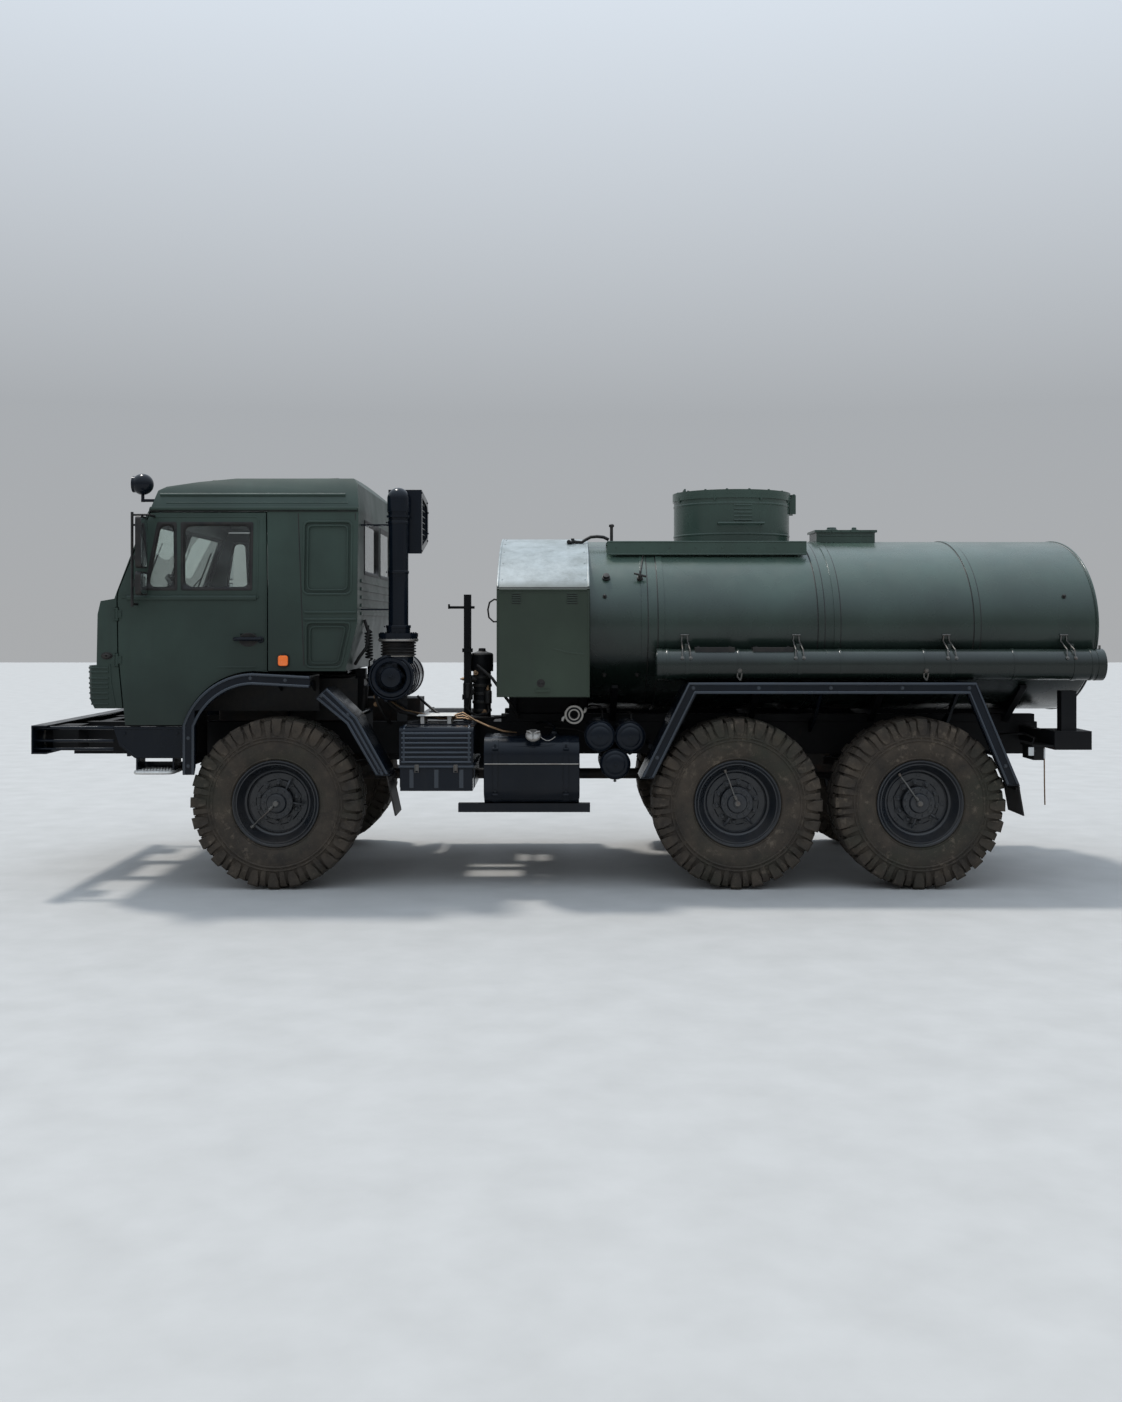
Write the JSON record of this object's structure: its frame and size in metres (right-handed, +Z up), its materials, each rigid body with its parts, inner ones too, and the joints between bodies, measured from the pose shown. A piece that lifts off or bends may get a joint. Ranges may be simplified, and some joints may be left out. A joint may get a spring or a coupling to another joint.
{
  "type": "tanker truck",
  "caption": "All-wheel-drive tanker truck with a tilting sleeper cab, oval tank, pump cabinet, side hose tubes and black mudguards.",
  "frame": {"origin": "on the ground under the middle of the truck", "axes": "the truck faces -X, +Y is its right side, +Z is up"},
  "size_m": [7.748, 2.79, 3.02],
  "materials": {
    "frame_black": "satin",
    "gloss_black": "gloss",
    "cab_green": "satin",
    "tank_green": "satin",
    "rim_black": "satin",
    "cast": "matte",
    "tyre": "matte",
    "rubber": "matte",
    "glass": "gloss",
    "mirror": "gloss",
    "lamp": "gloss",
    "seat": "matte",
    "dash": "matte",
    "steel": "satin"
  },
  "bodies": {
    "chassis": {"chassis_frame": "frame_black", "cross_members": "frame_black", "front_bumper": "gloss_black", "lamps": "lamp", "engine": "cast", "driveline": "cast", "axles": "cast", "springs": "frame_black", "air_cleaner": "gloss_black", "equipment": "frame_black", "side_boxes": "gloss_black", "fuel_tanks": "gloss_black", "air_receivers": "gloss_black", "side_steps": "gloss_black", "mudguards_front": "gloss_black", "mudguards_rear": "gloss_black", "mudflaps": "rubber", "tank": "tank_green", "tank_cradle": "frame_black", "hose_tubes": "tank_green", "tube_hangers": "tank_green", "pump_cabinet": "tank_green", "pump_set": "steel", "tank_top": "tank_green", "manhole_neck": "tank_green"},
    "cab": {"cab_floor": "cab_green", "cab_front": "cab_green", "cab_rear": "cab_green", "cab_sides": "cab_green", "cab_roof": "cab_green", "cab_glass": "glass", "seats": "seat", "dashboard": "dash", "cab_lamps": "lamp", "intake_stack": "gloss_black"},
    "tie_rod": {"tie_rod": "steel"},
    "manhole_lid": {"manhole_lid": "tank_green"},
    "door_left": {"door_left": "cab_green", "door_glass_left": "glass", "mirrors_left": "mirror"},
    "flap_left": {"cabinet_flap_left": "tank_green"},
    "knuckle_left": {"knuckle_left": "cast"},
    "door_right": {"door_right": "cab_green", "door_glass_right": "glass", "mirrors_right": "mirror"},
    "flap_right": {"cabinet_flap_right": "tank_green"},
    "knuckle_right": {"knuckle_right": "cast"},
    "wheel_front_left": {"rim_front_left": "rim_black", "tyre_front_left": "tyre"},
    "wheel_front_right": {"rim_front_right": "rim_black", "tyre_front_right": "tyre"},
    "wheel_middle_left": {"rim_middle_left": "rim_black", "tyre_middle_left": "tyre"},
    "wheel_middle_right": {"rim_middle_right": "rim_black", "tyre_middle_right": "tyre"},
    "wheel_rear_left": {"rim_rear_left": "rim_black", "tyre_rear_left": "tyre"},
    "wheel_rear_right": {"rim_rear_right": "rim_black", "tyre_rear_right": "tyre"}
  },
  "joints": [
    {"name": "cab_tilt", "type": "hinge", "parent": "chassis", "child": "cab", "pos_m": [-3.4, 0, 1.215], "axis": [0, -1, 0], "range_deg": [0, 50]},
    {"name": "door_left_swing", "type": "hinge", "parent": "cab", "child": "door_left", "pos_m": [-3.273, -1.2, 1.9], "axis": [0, 0, -1], "range_deg": [0, 70]},
    {"name": "door_right_swing", "type": "hinge", "parent": "cab", "child": "door_right", "pos_m": [-3.273, 1.2, 1.9], "axis": [0, 0, 1], "range_deg": [0, 70]},
    {"name": "steer_left", "type": "hinge", "parent": "chassis", "child": "knuckle_left", "pos_m": [-2.133, -0.85, 0.62], "axis": [0, 0, 1], "range_deg": [-28, 28]},
    {"name": "steer_right", "type": "hinge", "parent": "chassis", "child": "knuckle_right", "pos_m": [-2.133, 0.85, 0.62], "axis": [0, 0, 1], "range_deg": [-28, 28]},
    {"name": "tie_rod_turn", "type": "hinge", "parent": "knuckle_left", "child": "tie_rod", "pos_m": [-1.933, -0.85, 0.51], "axis": [0, 0, 1], "range_deg": [-28, 28]},
    {"name": "roll_front_left", "type": "hinge", "parent": "knuckle_left", "child": "wheel_front_left", "pos_m": [-2.133, -1.005, 0.62], "axis": [0, -1, 0], "continuous": true},
    {"name": "roll_front_right", "type": "hinge", "parent": "knuckle_right", "child": "wheel_front_right", "pos_m": [-2.133, 1.005, 0.62], "axis": [0, -1, 0], "continuous": true},
    {"name": "roll_middle_left", "type": "hinge", "parent": "chassis", "child": "wheel_middle_left", "pos_m": [1.207, -1.005, 0.62], "axis": [0, -1, 0], "continuous": true},
    {"name": "roll_middle_right", "type": "hinge", "parent": "chassis", "child": "wheel_middle_right", "pos_m": [1.207, 1.005, 0.62], "axis": [0, -1, 0], "continuous": true},
    {"name": "roll_rear_left", "type": "hinge", "parent": "chassis", "child": "wheel_rear_left", "pos_m": [2.527, -1.005, 0.62], "axis": [0, -1, 0], "continuous": true},
    {"name": "roll_rear_right", "type": "hinge", "parent": "chassis", "child": "wheel_rear_right", "pos_m": [2.527, 1.005, 0.62], "axis": [0, -1, 0], "continuous": true},
    {"name": "flap_left_lift", "type": "hinge", "parent": "chassis", "child": "flap_left", "pos_m": [-0.192, -1.202, 2.165], "axis": [-1, 0, 0], "range_deg": [0, 95]},
    {"name": "flap_right_lift", "type": "hinge", "parent": "chassis", "child": "flap_right", "pos_m": [-0.192, 1.202, 2.165], "axis": [1, 0, 0], "range_deg": [0, 95]},
    {"name": "manhole_lift", "type": "hinge", "parent": "chassis", "child": "manhole_lid", "pos_m": [1.797, 0, 2.945], "axis": [0, 1, 0], "range_deg": [0, 100]}
  ],
  "couplings": [
    {"joint": "steer_right", "follows": "steer_left", "ratio": 1},
    {"joint": "tie_rod_turn", "follows": "steer_left", "ratio": -1}
  ]
}
